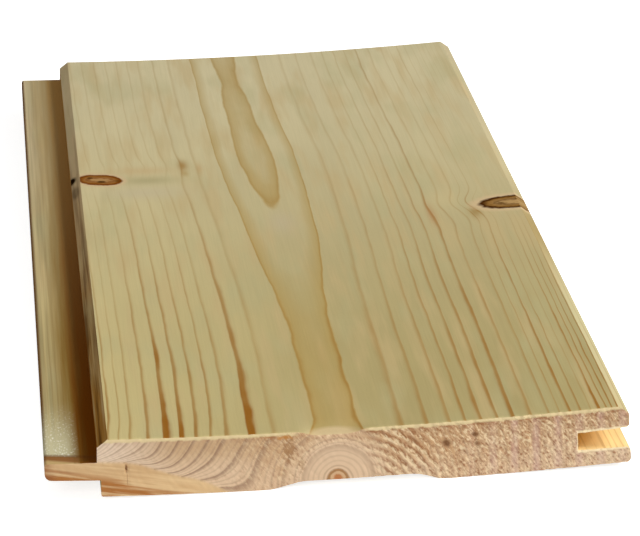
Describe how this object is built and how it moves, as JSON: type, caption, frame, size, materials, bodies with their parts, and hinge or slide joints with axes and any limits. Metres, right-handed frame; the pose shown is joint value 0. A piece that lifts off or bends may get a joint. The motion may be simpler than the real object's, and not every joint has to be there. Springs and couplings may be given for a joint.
{
  "type": "tongue and groove board",
  "caption": "Planed softwood board with a tongue on one long edge, a matching groove on the other, V-joint chamfers and a hollow back.",
  "frame": {"origin": "under the middle of the board, on the level its back rests on", "axes": "+Y along the grain, +X across the board towards the groove, -X towards the tongue, +Z out of the show face"},
  "size_m": [0.1446, 0.335, 0.0162],
  "materials": {
    "pine": "planed"
  },
  "bodies": {
    "root": {"board": "pine"}
  },
  "joints": []
}
